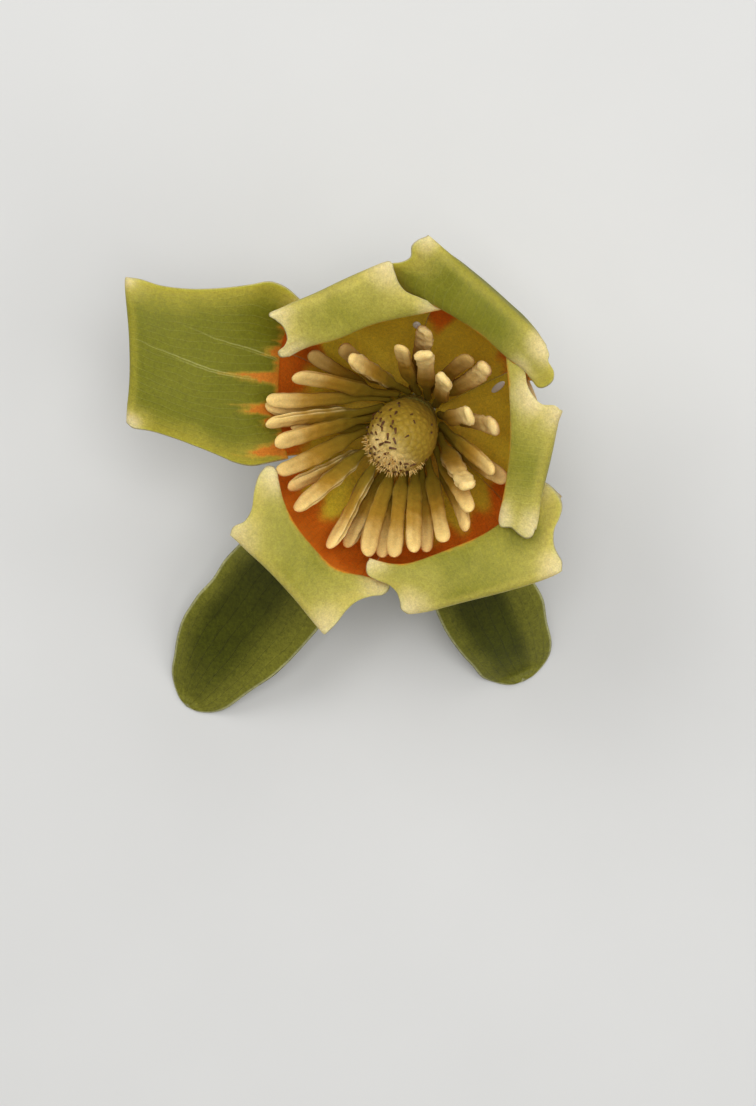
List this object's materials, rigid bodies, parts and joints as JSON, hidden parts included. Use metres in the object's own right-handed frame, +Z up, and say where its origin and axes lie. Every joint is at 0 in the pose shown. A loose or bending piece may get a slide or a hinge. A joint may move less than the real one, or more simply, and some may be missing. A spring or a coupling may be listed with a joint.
{
  "type": "tulip tree flower",
  "caption": "Cut tulip tree flower, open and face up, with turned-back green petals banded orange inside, a ring of buff stamens and a cone of pistils.",
  "frame": {"origin": "middle of the stalk's flat cut, on the surface that the flower stands on", "axes": "+Z up out of the flower's open face, +X to the right and +Y to the top of the view from above"},
  "size_m": [0.0605, 0.0659, 0.0455],
  "materials": {
    "petals": "soft satin petal, yellow-green with pale edges and a flamed orange band inside",
    "sepals": "satin leaf, dark olive green with a lighter edge",
    "stamens": "matt buff anthers, ochre toward the foot",
    "pistils": "matt olive-yellow with dark stigmas and cream fuzz",
    "receptacle": "matt olive-brown",
    "stalk": "satin green bark, pale where it is cut"
  },
  "bodies": {
    "root": {"stalk": "stalk", "receptacle": "receptacle", "pistil_cone": "pistils", "sepal_1": "sepals", "sepal_2": "sepals", "sepal_3": "sepals", "petal_1": "petals", "petal_2": "petals", "petal_3": "petals", "petal_4": "petals", "petal_5": "petals", "petal_6": "petals", "stamen_1": "stamens", "stamen_2": "stamens", "stamen_3": "stamens", "stamen_4": "stamens", "stamen_5": "stamens", "stamen_6": "stamens", "stamen_7": "stamens", "stamen_8": "stamens", "stamen_9": "stamens", "stamen_10": "stamens", "stamen_11": "stamens", "stamen_12": "stamens", "stamen_13": "stamens", "stamen_14": "stamens", "stamen_15": "stamens", "stamen_16": "stamens", "stamen_17": "stamens", "stamen_18": "stamens", "stamen_19": "stamens", "stamen_20": "stamens", "stamen_21": "stamens", "stamen_22": "stamens", "stamen_23": "stamens", "stamen_24": "stamens", "stamen_25": "stamens", "stamen_26": "stamens", "stamen_27": "stamens", "stamen_28": "stamens", "stamen_29": "stamens", "stamen_30": "stamens", "stamen_31": "stamens", "stamen_32": "stamens", "stamen_33": "stamens"}
  },
  "joints": []
}
